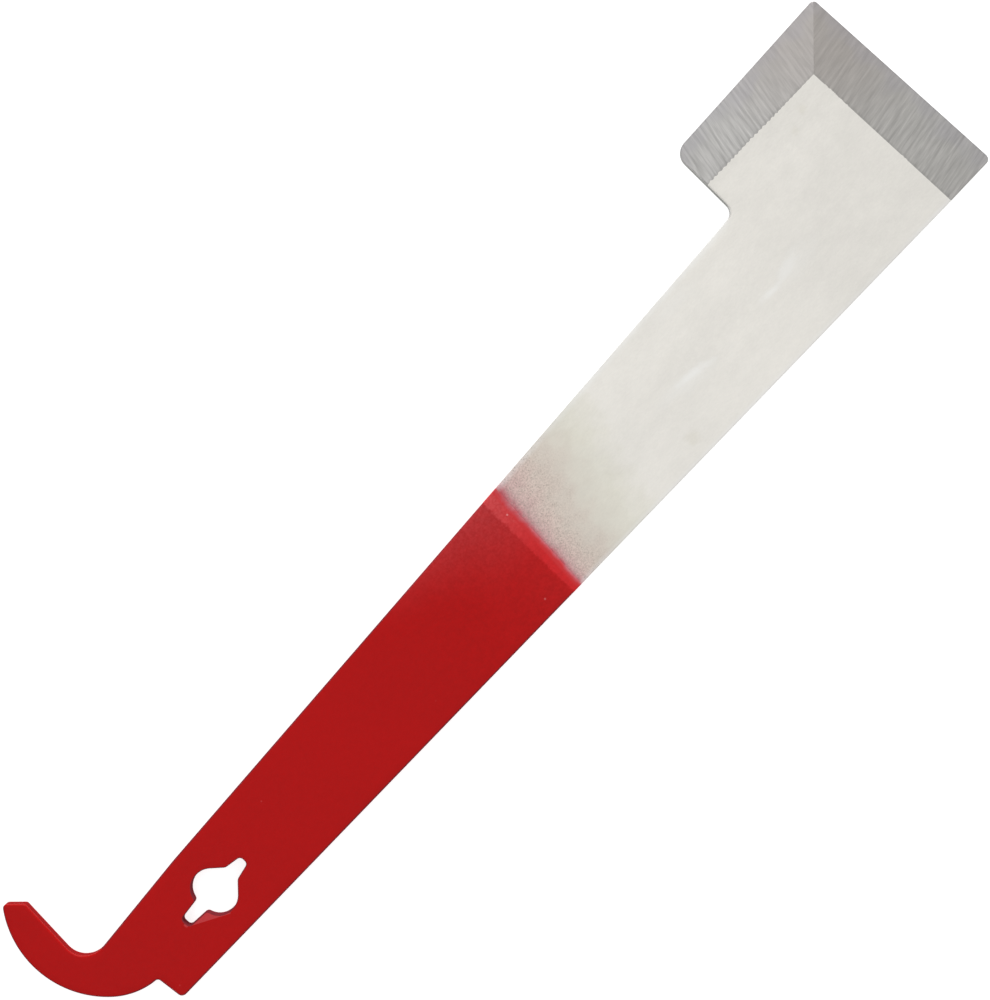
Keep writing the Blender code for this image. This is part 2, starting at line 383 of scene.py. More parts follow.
MITRE = (END_X - END_BEVEL_AT_MITRE, HEAD_LEFT_Y - SIDE_BEVEL_AT_MITRE)
CORNER = (END_X, HEAD_LEFT_Y)
END_LOW = (END_X - END_BEVEL_AT_RIGHT, right_y(END_X - END_BEVEL_AT_RIGHT))
SIDE_LOW = (NOTCH_INNER_X, HEAD_LEFT_Y - SIDE_BEVEL_AT_NOTCH)
END_LINE = (MITRE, END_LOW)
SIDE_LINE = (SIDE_LOW, MITRE)
CREASE = ((CREASE_LEFT_X, left_y(CREASE_LEFT_X)), (CREASE_RIGHT_X, right_y(CREASE_RIGHT_X)))
MOUTH = ((MOUTH_RIGHT_X, right_y(MOUTH_RIGHT_X)), (MOUTH_LEFT_X, left_y(MOUTH_LEFT_X)))
END_FALL = (BLADE - EDGE) / float(past(END_LINE, *CORNER))
SIDE_FALL = (BLADE - EDGE) / float(past(SIDE_LINE, *CORNER))
GRIND_END = np.array((-0.990, -0.11)) / math.hypot(0.990, 0.11)  # the grind lines' directions
GRIND_SIDE = np.array((-0.25, -0.963)) / math.hypot(0.25, 0.963)


def behind_mouth(x, y):
    """Distance from the coat's end towards the hook."""
    return past(MOUTH, x, y)


def across(direction, x, y):
    return x * -direction[1] + y * direction[0]


def side_groove(x, y):
    """Depth of the side face's grind scallops, where it leaves the flat."""
    u = across(GRIND_SIDE, x, y)
    turns = u / 1.18 + 0.42 * wander(u, 3.4, 14)
    teeth = 0.62 * np.sin(2 * math.pi * turns) + 0.30 * wander(u, 0.6, 11) + 0.30 * wander(u, 4.5, 13)
    from_mitre = np.hypot(x - MITRE[0], y - MITRE[1])
    return SIDE_FALL * teeth * (0.06 * smooth_step(from_mitre / 1.6) + 0.12 * smooth_step((from_mitre - 4) / 12))


def end_groove(x, y):
    u = across(GRIND_END, x, y)
    ripple = np.sin(2 * math.pi * (u / 1.45 + 0.4 * wander(u, 4.0, 23)))
    return END_FALL * (0.03 * ripple + 0.03 * wander(u, 0.6, 21) + 0.05 * wander(u, 2.3, 22))


def drops(x, y):
    """How far each ground face lies under the blade's face, before its grooves."""
    return END_FALL * past(END_LINE, x, y), SIDE_FALL * past(SIDE_LINE, x, y)


def ground(x, y):
    """Height of the ground faces, which run on above the flat where they aren't cut."""
    end, side = drops(x, y)
    is_side = side > end
    drop = np.where(is_side, side, end)
    fall = np.where(is_side, SIDE_FALL, END_FALL)
    depth = np.where(is_side, side_groove(x, y), end_groove(x, y))
    keep = 0.30 + 0.70 * np.exp(-np.maximum(drop, 0) / fall / 3.6)
    near_mitre = smooth_step(np.abs(side - end) / (SIDE_FALL * 0.5))
    near_edge = smooth_step((BLADE - drop - EDGE) / 0.25)
    return BLADE - drop - depth * keep * near_mitre * near_edge


def plate(x, y):
    """Handle, ramp and blade, with the slight unevenness of a pressed and painted plate."""
    t = np.clip(past(CREASE, x, y) / RAMP, 0, 1)
    uneven = (
        0.006 * np.sin(x * 0.21 + 1.3) * np.cos(y * 0.17 + 0.4)
        + 0.004 * np.sin(x * 0.47 + y * 0.31)
        + 0.003 * np.sin(x * 0.083 - y * 0.61 + 2.0)
    )
    return PLATE - (PLATE - BLADE) * t + uneven


def facet(x, y):
    """How deep the coined facet beside the keyhole's hook slot cuts in: one sloping plane
    between the slot's tip and the bottom of the round middle."""
    kx, ky = keyhole_axes(x, y)
    depth = FACET_SLOPE * past(FACET_LINE, kx, ky)
    depth = np.minimum(depth, 0.5 * (-1.1 - kx))
    depth = np.minimum(depth, 0.5 * (kx + 9.9))
    return np.where(ky < 0.0, np.maximum(depth, 0.0), 0.0)


def steel_front(x, y):
    return np.minimum(plate(x, y) - facet(x, y), ground(x, y))


def coat_front(x, y):
    return plate(x, y) - facet(x, y)


# ---- mesh building


def same_regions(triangles, co, keep, walls):
    """Makes keep the same over each region that the walls enclose: its largest triangle's."""
    owner = list(range(len(triangles)))

    def root(k):
        while owner[k] != k:
            owner[k] = owner[owner[k]]
            k = owner[k]
        return k

    beside_edge = {}
    for k, t in enumerate(triangles.tolist()):
        for a, b in ((t[0], t[1]), (t[1], t[2]), (t[2], t[0])):
            edge = (a, b) if a < b else (b, a)
            if edge in walls:
                continue
            if edge in beside_edge:
                owner[root(k)] = root(beside_edge[edge])
            else:
                beside_edge[edge] = k
    p, q, r = (co[triangles[:, k]] for k in range(3))
    area = np.abs((q - p)[:, 0] * (r - p)[:, 1] - (q - p)[:, 1] * (r - p)[:, 0])
    roots = [root(k) for k in range(len(triangles))]
    best = {}
    for k, at in enumerate(roots):
        if at not in best or area[k] > area[best[at]]:
            best[at] = k
    return np.array([keep[best[at]] for at in roots])


class Body:
    """Vertices and faces in the drawing's frame, with a kind for each face."""

    def __init__(self):
        self.verts, self.faces, self.kinds, self.sharp = [], [], [], []

    def points(self, x, y, z):
        first = len(self.verts)
        self.verts += list(zip(np.broadcast_to(x, np.shape(z)).tolist(), np.broadcast_to(y, np.shape(z)).tolist(), z.tolist()))
        return list(range(first, len(self.verts)))

    def strips(self, rows, closed, kind, flip=False):
        for upper, lower, k in zip(rows, rows[1:], kind):
            count = len(upper)
            for j in range(count if closed else count - 1):
                n = (j + 1) % count
                face = (upper[j], lower[j], lower[n], upper[n])
                self.faces.append(face[::-1] if flip else face)
                self.kinds.append(k)

    def fill(self, rings, lines, grid, height, kind, down=False, sharp=()):
        """Fills between closed rings of vertices. lines are (points, heights or None) that
        the mesh's edges follow, and grid holds free points."""
        ids = [i for ring in rings for i in ring]
        flat = [self.verts[i][:2] for i in ids]
        edges, at = [], 0
        for ring in rings:
            edges += [(at + k, at + (k + 1) % len(ring)) for k in range(len(ring))]
            at += len(ring)
        borders = len(edges)
        loops = [[self.verts[i][:2] for i in ring] for ring in rings]
        new_x, new_y, new_z = [], [], []
        marked = []
        for number, (line, fixed) in enumerate(lines):
            line = np.array(line)
            keep = inside(line[:, 0], line[:, 1], loops[0])
            for hole in loops[1:]:
                keep &= ~inside(line[:, 0], line[:, 1], hole)
            near = kdtree.KDTree(len(flat))
            for k, p in enumerate(flat):
                near.insert((p[0], p[1], 0), k)
            near.balance()
            previous = None
            z = height(line[:, 0], line[:, 1]) if fixed is None else np.broadcast_to(fixed, len(line))
            for k in range(len(line)):
                if keep[k]:
                    _, hit, gap = near.find((line[k, 0], line[k, 1], 0))
                    if gap < 1e-4:
                        here = hit
                    elif gap < 0.04:
                        previous = None
                        continue
                    else:
                        here = len(flat)
                        flat.append((line[k, 0], line[k, 1]))
                        ids.append(None)
                        new_x.append(line[k, 0]), new_y.append(line[k, 1]), new_z.append(z[k])
                    if previous is not None:
                        edges.append((previous, here))
                        if number in sharp:
                            marked.append((previous, here))
                    previous = here
                else:
                    previous = None
        made = self.points(np.array(new_x), np.array(new_y), np.array(new_z)) if new_x else []
        made = iter(made)
        ids = [next(made) if i is None else i for i in ids]
        for points, gap in grid:
            points = points[inside(points[:, 0], points[:, 1], loops[0])]
            for hole in loops[1:]:
                points = points[~inside(points[:, 0], points[:, 1], hole)]
            near = kdtree.KDTree(len(flat))
            for k, p in enumerate(flat):
                near.insert((p[0], p[1], 0), k)
            near.balance()
            points = np.array([p for p in points if near.find((p[0], p[1], 0))[2] > gap]).reshape(-1, 2)
            if len(points):
                ids += self.points(points[:, 0], points[:, 1], height(points[:, 0], points[:, 1]))
                flat += [tuple(p) for p in points]
        found = delaunay_2d_cdt([Vector(p) for p in flat], edges, [], 0, 1e-7)
        to = []
        for k, origin in enumerate(found[3]):
            if origin:
                to.append(ids[origin[0]])
            else:
                p = np.array(found[0][k])
                to += self.points(p[:1], p[1:2], height(p[:1], p[1:2]))
        triangles = np.array(found[2])
        co = np.array([tuple(v) for v in found[0]])
        mid = co[triangles].mean(1)
        keep = inside(mid[:, 0], mid[:, 1], loops[0])
        for hole in loops[1:]:
            keep &= ~inside(mid[:, 0], mid[:, 1], hole)
        walls = {tuple(sorted(e)) for e, of in zip(found[1], found[4]) if any(k < borders for k in of)}
        keep = same_regions(triangles, co, keep, walls)
        kinds = kind(mid[:, 0], mid[:, 1])
        for t, k in zip(triangles[keep], kinds[keep]):
            face = (to[t[0]], to[t[1]], to[t[2]])
            self.faces.append(face[::-1] if down else face)
            self.kinds.append(int(k))
        self.sharp += [(ids[a], ids[b]) for a, b in marked]

    def piece(self, name, materials):
        v = np.array(self.verts)
        v[:, 0] = (v[:, 0] - CENTRE[0] + SET_X) * MM
        v[:, 1] = (v[:, 1] - CENTRE[1] + SET_Y) * MM
        v[:, 2] = (v[:, 2] + SET_Z) * MM
        mesh = bpy.data.meshes.new(name)
        mesh.from_pydata(v.tolist(), [], self.faces)
        mesh.polygons.foreach_set("material_index", np.array(self.kinds, np.int32))
        for made in materials:
            mesh.materials.append(made)
        bm = bmesh.new()
        bm.from_mesh(mesh)
        loose = [p for p in bm.verts if not p.link_faces]
        sharp = {tuple(sorted(e)) for e in self.sharp}
        for edge in bm.edges:
            if tuple(sorted((edge.verts[0].index, edge.verts[1].index))) in sharp:
                edge.smooth = False
        bmesh.ops.delete(bm, geom=loose, context="VERTS")
        bmesh.ops.recalc_face_normals(bm, faces=bm.faces)
        for face in bm.faces:
            face.smooth = True
        bm.to_mesh(mesh)
        bm.free()
        mesh.update()
        made = bpy.data.objects.new(name, mesh)
        bpy.context.scene.collection.objects.link(made)
        return made


def rim_rows(body, chain, normals, front, depth, r_front, r_back, front_steps, wall_steps, back_steps, rough=None):
    """Rows of vertices over a plate's edge, from its front face round to its back. depth is
    how far the skin lies inside the full size."""
    rows = []
    p, n = np.array(chain), np.array(normals)
    e = depth(p[:, 0], p[:, 1])
    for k in range(front_steps + 1):
        a = math.radians(90 * (1 - k / front_steps))
        q = p + n * (e + r_front * (1 - math.cos(a)))[:, None]
        z = front(q[:, 0], q[:, 1]) - depth(q[:, 0], q[:, 1]) - r_front * (1 - math.sin(a))
        rows.append(body.points(q[:, 0], q[:, 1], z))
    high, low = z, e + r_back
    for k in range(1, wall_steps):
        t = k / wall_steps
        out = e if rough is None else e + rough(p[:, 0], p[:, 1], t)
        q = p + n * out[:, None]
        rows.append(body.points(q[:, 0], q[:, 1], high + (low - high) * t))
    for k in range(back_steps + 1):
        a = math.radians(90 * k / back_steps)
        q = p + n * (e + r_back * (1 - math.cos(a)))[:, None]
        z = depth(q[:, 0], q[:, 1]) + r_back * (1 - math.sin(a))
        rows.append(body.points(q[:, 0], q[:, 1], z))
    return rows


def lattice(x0, x1, y0, y1, step):
    """Staggered points over a rectangle."""
    rows = []
    for k, y in enumerate(np.arange(y0, y1, step * 0.866)):
        x = np.arange(x0 + (k % 2) * step / 2, x1, step)
        rows.append(np.stack([x, np.full(len(x), y)], -1))
    return np.concatenate(rows)


def between(a, b, step):
    a, b = np.array(a, float), np.array(b, float)
    count = max(2, math.ceil(np.hypot(*(b - a)) / step))
    return [tuple(a + (b - a) * k / count) for k in range(count + 1)]


def beside(line, shift, step, overrun=3.0):
    """A line of points parallel to one, moved to the left of its direction."""
    a, b = np.array(line[0]), np.array(line[1])
    along = (b - a) / np.hypot(*(b - a))
    move = np.array((-along[1], along[0])) * shift
    return between(a - along * overrun + move, b + along * overrun + move, step)


def steel_depth(x, y):
    """The bar lies at full size up to the coat's end, and a little deeper under the coat."""
    s = behind_mouth(x, y)
    open_part = SEAT_AT_MOUTH * smooth_step((s + 0.15) / 0.15)
    return open_part + (SEAT - SEAT_AT_MOUTH) * smooth_step(s / FEATHER)


def coat_depth(x, y):
    s = behind_mouth(x, y)
    return COAT_AT_MOUTH + (COAT - COAT_AT_MOUTH) * smooth_step(s / FEATHER)


def no_depth(x, y):
    return np.zeros(len(x))


SATIN, GROUND_END, GROUND_SIDE, CUT_EDGE, BACK = range(5)


def steel_kind(x, y):
    end, side = drops(x, y)
    flat = plate(x, y) <= ground(x, y)
    return np.where(flat, SATIN, np.where(side > end, GROUND_SIDE, GROUND_END))


def back_kind(x, y):
    return np.full(len(x), BACK)


def steel_bar(materials):
    def step(x, y):
        s = float(behind_mouth(np.array(x), np.array(y)))
        if s > 4:
            return 1.6
        if s > -1:
            return 0.3
        return RUN

    body = Body()
    loop = divided(OUTLINE, step)
    chain = np.array(loop)
    thickness = steel_front(chain[:, 0], chain[:, 1])
    wear = 1 + 0.12 * wander(chain[:, 0] * 0.7 + chain[:, 1], 9.0, 31)
    r_front = np.minimum(R_BLADE_EDGE * wear, 0.24 * thickness)
    r_back = np.minimum(R_BACK_EDGE, 0.30 * thickness)

    def torn(x, y, t):
        # the sheared edge: slightly drawn in towards the back, with faint upright marks
        bare = np.clip((steel_front(x, y) - 0.8) / 1.2, 0, 1)
        return bare * (0.02 * t + 0.012 * wander(x * 0.9 - y * 1.1, 0.9, 41) * math.sin(math.pi * t))

    rows = rim_rows(body, chain, inward(loop), steel_front, steel_depth, r_front, r_back, 4, 5, 3, torn)
    body.strips(rows, True, [None] * (len(rows) - 1))
    # faces round the front edge take the finish that they border, the wall is as cut
    count = len(chain)
    for k in range(len(rows) - 1):
        for j in range(count):
            body.kinds[k * count + j] = None
    at = (np.array([body.verts[i][:2] for i in rows[0]]) + np.roll(np.array([body.verts[i][:2] for i in rows[0]]), -1, 0)) / 2
    bordered = steel_kind(at[:, 0], at[:, 1])
    for k in range(len(rows) - 1):
        for j in range(count):
            if k < 3:
                kind = int(bordered[j])
            elif k < len(rows) - 3:
                kind = CUT_EDGE
            else:
                kind = BACK
            body.kinds[k * count + j] = kind

    hole = divided(KEYHOLE[::-1], lambda x, y: 0.5)
    hole_rows = rim_rows(
        body, hole, inward(hole), coat_front, steel_depth, np.full(len(hole), 0.15), np.full(len(hole), 0.15), 2, 5, 2
    )
    body.strips(hole_rows, True, [SATIN] * (len(hole_rows) - 1))

    def front(x, y):
        return steel_front(x, y) - steel_depth(x, y)

    # the scalloped inner line of the side face
    side_line = np.array(beside(SIDE_LINE, 0.0, 0.14, 0.0))
    along = np.array(SIDE_LINE[1]) - np.array(SIDE_LINE[0])
    along /= np.hypot(*along)
    shift = side_groove(side_line[:, 0], side_line[:, 1]) / SIDE_FALL
    side_line = side_line + np.array((along[1], -along[0])) * shift[:, None]
    side_line[-1] = MITRE
    lines = [
        (side_line, plate(side_line[:, 0], side_line[:, 1])),
        (between(MITRE, END_LOW, 0.25), None),
        (between(MITRE, CORNER, 0.22), None),
        (beside(CREASE, -0.15, 1.0), None),
        (beside(CREASE, 0.15, 1.0), None),
        (beside(CREASE, RAMP - 0.2, 0.6), None),
        (beside(CREASE, RAMP + 0.2, 0.6), None),
    ]
    end_points = np.array(lines[1][0])
    lines[1] = (end_points, plate(end_points[:, 0], end_points[:, 1]))
    mouth_lines = [(beside(MOUTH, s, 0.6), None) for s in (-0.15, -0.07, 0.0, 0.4, 1.0, 1.6, 2.2)]

    fine = lattice(NOTCH_OUTER_X - 2, END_X, right_y(0), HEAD_LEFT_Y, GRIND_STEP)
    end, side = drops(fine[:, 0], fine[:, 1])
    fine = fine[np.maximum(end / END_FALL, side / SIDE_FALL) > 0.12]
    body.fill(
        [rows[0], hole_rows[0]],
        lines + mouth_lines + [(facet_line(), None)],
        [
            (fine, 0.10),
            (about_facet(0.28), 0.14),
            (lattice(-132, END_X, right_y(0), HEAD_LEFT_Y, 1.3), 0.7),
            (lattice(LOW[0], -132, LOW[1], HIGH[1], 3.5), 1.4),
        ],
        front,
        steel_kind,
        sharp=(0, 1, 2),
    )

    def back(x, y):
        return steel_depth(x, y)

    body.fill(
        [rows[-1], hole_rows[-1]],
        mouth_lines,
        [(lattice(LOW[0], END_X, LOW[1], HIGH[1], 3.0), 1.2)],
        back,
        back_kind,
        down=True,
    )
    return body.piece("steel_blank", materials)


def facet_line():
    c, w = math.cos(math.radians(KEYHOLE_TURN)), math.sin(math.radians(KEYHOLE_TURN))
    return between(*[(KEYHOLE_AT[0] + a * c - b * w, KEYHOLE_AT[1] + a * w + b * c) for a, b in FACET_LINE], 0.3)


def about_facet(step):
    """Points over the facet and a little way round it."""
    fine = lattice(KEYHOLE_AT[0] - 13, KEYHOLE_AT[0] + 3, KEYHOLE_AT[1] - 9, KEYHOLE_AT[1] + 2, step)
    reach, around = 0.35, np.zeros(len(fine), bool)
    for dx, dy in ((0, 0), (reach, 0), (-reach, 0), (0, reach), (0, -reach)):
        around |= facet(fine[:, 0] + dx, fine[:, 1] + dy) > 0
    return fine[around]


# painted highlight: the coined facet takes a lighter red that stands in for the light falling on its tilted face
def coat_kind(x, y):
    return np.where(facet(x, y) > 0.004, 2, 0)


def plain_kind(x, y):
    return np.zeros(len(x))


def coat(materials):
    body = Body()
    loops = []
    for outer in (True, False):
        run = (lambda x, y: RUN) if outer else (lambda x, y: 1.2)
        depth = no_depth if outer else coat_depth
        chain = divided(split_at(OUTLINE, MOUTH), run, closed=False)
        normals = inward(chain, closed=False)
        line = np.array(MOUTH[0]) - np.array(MOUTH[1])
        line /= np.hypot(*line)
        normals[0] = line / float(normals[0] @ line) * float(normals[0] @ normals[0])
        normals[-1] = -line / float(normals[-1] @ -line) * float(normals[-1] @ normals[-1])
        p = np.array(chain)
        # the front edge is rounder on the hook and at the mouth it takes the blade's round
        s = behind_mouth(p[:, 0], p[:, 1])
        r_front = R_BLADE_EDGE + (R_COAT_EDGE - R_BLADE_EDGE) * smooth_step(s / 6)
        r_back = np.full(len(p), R_BACK_EDGE)
        if not outer:
            deep = coat_depth(p[:, 0], p[:, 1])
            r_front, r_back = r_front - deep * 0.8, np.maximum(r_back - deep * 0.8, 0.05)
        front = coat_front
        rows = rim_rows(body, chain, normals, front, depth, r_front, r_back, 4, 4, 3)
        first = len(body.kinds)
        body.strips(rows, False, [0] * (len(rows) - 1), flip=not outer)
        if outer:
            # painted shade: a thin dark line is painted into the front round of the outer edges, and along the foot
            # of the edges that face the bar's middle: the hook's inner face, its tip and the throat; the walls
            # between are painted a darker red for their shade
            out = -np.array(normals)
            facing = ((np.array(CENTRE) - p) * out).sum(1) > 0
            spans = len(p) - 1
            for k in range(len(rows) - 1):
                for j in range(spans):
                    if k == 0 or k > 8:
                        kind = 0
                    elif k < 4:
                        kind = 0 if facing[j] else 1
                    elif k < 8:
                        kind = 3
                    else:
                        kind = 1 if facing[j] else 3
                    body.kinds[first + k * spans + j] = kind

        hole = divided(KEYHOLE[::-1], (lambda x, y: 0.25) if outer else (lambda x, y: 0.5))
        h = np.array(hole)
        r_hole = np.full(len(hole), R_KEYHOLE_EDGE if outer else 0.08)
        hole_rows = rim_rows(body, hole, inward(hole), coat_front, depth, r_hole, r_hole, 3, 4, 3)
        # painted shade: the keyhole's front round and walls take the dark edge red, standing in for the shade inside
        # the hole
        wall = [1 if outer and k < len(hole_rows) - 3 else 0 for k in range(len(hole_rows) - 1)]
        body.strips(hole_rows, True, wall, flip=not outer)

        mouths = []
        for row, face in ((rows[0], front), (rows[-1], None)):
            a, b = np.array(body.verts[row[-1]][:2]), np.array(body.verts[row[0]][:2])
            points = np.array([a + (b - a) * k / 56 for k in range(1, 56)])
            x, y = points[:, 0], points[:, 1]
            z = depth(x, y) if face is None else face(x, y) - depth(x, y)
            mouths.append(body.points(x, y, z))

        def height(x, y, front=front, depth=depth):
            return front(x, y) - depth(x, y)

        crease = [(beside(CREASE, t, 0.8), None) for t in (-0.15, 0.15, RAMP - 0.2, RAMP + 0.2)]
        if not outer:
            crease = []
        crease.append((facet_line(), None))
        feather = [(beside(MOUTH, t, 1.5), None) for t in (0.5, 1.1, 1.7, 2.2)]
        grid = [(lattice(LOW[0], MOUTH_LEFT_X, LOW[1], HIGH[1], 1.4 if outer else 4.0), 0.7 if outer else 1.6)]
        grid.insert(0, (about_facet(0.22 if outer else 0.28), 0.12))
        body.fill([rows[0] + mouths[0], hole_rows[0]], crease + feather, grid, height, coat_kind if outer else plain_kind, down=not outer)

        def back(x, y, depth=depth):
            return depth(x, y)

        body.fill(
            [rows[-1] + mouths[1], hole_rows[-1]],
            feather,
            [(lattice(LOW[0], MOUTH_LEFT_X, LOW[1], HIGH[1], 3.0 if outer else 4.0), 1.2)],
            back,
            lambda x, y: np.zeros(len(x)),
            down=outer,
        )
        loops.append(
            [row[0] for row in rows]
            + mouths[1][::-1]
            + [row[-1] for row in reversed(rows)]
            + mouths[0]
        )
    outer, inner = loops
    for k in range(len(outer)):
        n = (k + 1) % len(outer)
        body.faces.append((outer[k], outer[n], inner[n], inner[k]))
        body.kinds.append(0)
    return body.piece("red_coating", materials)


# ---- materials


class Graph:
    """A node material, with short names for the nodes that it takes."""

    def __init__(self, name):
        self.material = bpy.data.materials.new(name)
        self.material.use_nodes = True
        self.tree = self.material.node_tree
        self.shader = self.tree.nodes["Principled BSDF"]
        where = self.tree.nodes.new("ShaderNodeTexCoord")
        self.at = self.vector("SCALE", where.outputs["Object"], scale=1000.0)  # millimetres

    def put(self, socket, value):
        if isinstance(value, bpy.types.NodeSocket):
            self.tree.links.new(value, socket)
        else:
            socket.default_value = value

    def node(self, kind, **settings):
        made = self.tree.nodes.new(kind)
        for key, value in settings.items():
            setattr(made, key, value)
        return made

    def vector(self, operation, a, b=None, scale=None):
        made = self.node("ShaderNodeVectorMath", operation=operation)
        self.put(made.inputs[0], a)
        if b is not None:
            self.put(made.inputs[1], b)
        if scale is not None:
            self.put(made.inputs["Scale"], scale)
        return made.outputs["Value" if operation in ("DOT_PRODUCT", "LENGTH", "DISTANCE") else "Vector"]

    def math(self, operation, a, b=None, c=None, clamp=False):
        made = self.node("ShaderNodeMath", operation=operation, use_clamp=clamp)
        self.put(made.inputs[0], a)
        if b is not None:
            self.put(made.inputs[1], b)
        if c is not None:
            self.put(made.inputs[2], c)
        return made.outputs[0]

    def along(self, direction, shift=0.0):
        """How far a point lies along a direction, in millimetres."""
        value = self.vector("DOT_PRODUCT", self.at, (direction[0], direction[1], direction[2] if len(direction) > 2 else 0.0))
        return self.math("SUBTRACT", value, shift) if shift else value

    def stretched(self, along, size_along, size_across, up=1.0):
        """Coordinates for a texture drawn out along a direction in the plate's plane."""
        made = self.node("ShaderNodeCombineXYZ")
        a = self.along(along)
        b = self.along((-along[1], along[0]))
        self.put(made.inputs[0], self.math("DIVIDE", a, size_along))
        self.put(made.inputs[1], self.math("DIVIDE", b, size_across))
        self.put(made.inputs[2], self.math("DIVIDE", self.along((0, 0, 1)), up))
        return made.outputs[0]

    def noise(self, at, scale=1.0, detail=2.0, roughness=0.5, distortion=0.0):
        made = self.node("ShaderNodeTexNoise")
        self.put(made.inputs["Vector"], at)
        made.inputs["Scale"].default_value = scale
        made.inputs["Detail"].default_value = detail
        made.inputs["Roughness"].default_value = roughness
        made.inputs["Distortion"].default_value = distortion
        return made.outputs["Fac"] if "Fac" in made.outputs else made.outputs[0]

    def cells(self, at, scale=1.0, randomness=1.0):
        made = self.node("ShaderNodeTexVoronoi", feature="F1")
        self.put(made.inputs["Vector"], at)
        made.inputs["Scale"].default_value = scale
        made.inputs["Randomness"].default_value = randomness
        return made.outputs["Distance"], made.outputs["Color"]

    def range(self, value, low, high, to_low=0.0, to_high=1.0, smooth=True):
        made = self.node("ShaderNodeMapRange", interpolation_type="SMOOTHSTEP" if smooth else "LINEAR")
        self.put(made.inputs["Value"], value)
        made.inputs["From Min"].default_value = low
        made.inputs["From Max"].default_value = high
        made.inputs["To Min"].default_value = to_low
        made.inputs["To Max"].default_value = to_high
        return made.outputs["Result"]

    def mix(self, factor, a, b, blend="MIX"):
        made = self.node("ShaderNodeMix", data_type="RGBA", blend_type=blend)
        self.put(made.inputs["Factor"], factor)
        self.put(made.inputs[6], a)
        self.put(made.inputs[7], b)
        return made.outputs[2]

    def mixed(self, factor, a, b):
        made = self.node("ShaderNodeMix", data_type="FLOAT")
        self.put(made.inputs["Factor"], factor)
        self.put(made.inputs[2], a)
        self.put(made.inputs[3], b)
        return made.outputs[0]

    def brighter(self, colour, factor):
        """A colour times a grey value."""
        grey = self.node("ShaderNodeCombineColor")
        for k in range(3):
            self.put(grey.inputs[k], factor)
        return self.mix(1.0, colour, grey.outputs[0], "MULTIPLY")

    def bump(self, height, distance, strength=1.0, normal=None):
        made = self.node("ShaderNodeBump")
        made.inputs["Strength"].default_value = strength
        made.inputs["Distance"].default_value = distance * MM
        self.put(made.inputs["Height"], height)
        if normal is not None:
            self.put(made.inputs["Normal"], normal)
        return made.outputs["Normal"]

    def finish(self, colour, roughness, metallic, normal=None, specular=None):
        self.put(self.shader.inputs["Base Color"], colour)
        self.put(self.shader.inputs["Roughness"], roughness)
        self.put(self.shader.inputs["Metallic"], metallic)
        if normal is not None:
            self.put(self.shader.inputs["Normal"], normal)
        if specular is not None:
            self.shader.inputs["Specular IOR Level"].default_value = specular
        return self.material


def in_place(point):
    """A point of the drawing in the object's frame, mm."""
    return point[0] - CENTRE[0] + SET_X, point[1] - CENTRE[1] + SET_Y


def grey(value, warm=0.0):
    return (value * (1 + warm), value, value * (1 - warm * 1.6), 1.0)


STEEL = (0.815, 0.793, 0.744, 1.0)
RED = (0.432, 0.0018, 0.0020, 1.0)
# the next four reds are lit and shaded copies of the coat's red: two lighter ones painted as highlight on the ramp
# and the facet, two darker ones painted as shade on the walls and edges
RED_RAMP_HIGHLIGHT = (0.565, 0.017, 0.020, 1.0)
RED_FACET_HIGHLIGHT = (0.462, 0.031, 0.036, 1.0)
RED_WALL_SHADE = (0.300, 0.014, 0.015, 1.0)
RED_EDGE_SHADE = (0.205, 0.026, 0.034, 1.0)
RED_MIST = (0.42, 0.13, 0.11, 1.0)


def past_mouth(g):
    """How far a point lies past the coat's end, towards the head, in millimetres."""
    a, b = in_place(MOUTH[0]), in_place(MOUTH[1])
    length = math.hypot(b[0] - a[0], b[1] - a[1])
    n = ((b[1] - a[1]) / length, -(b[0] - a[0]) / length)
    return g.along(n, a[0] * n[0] + a[1] * n[1])


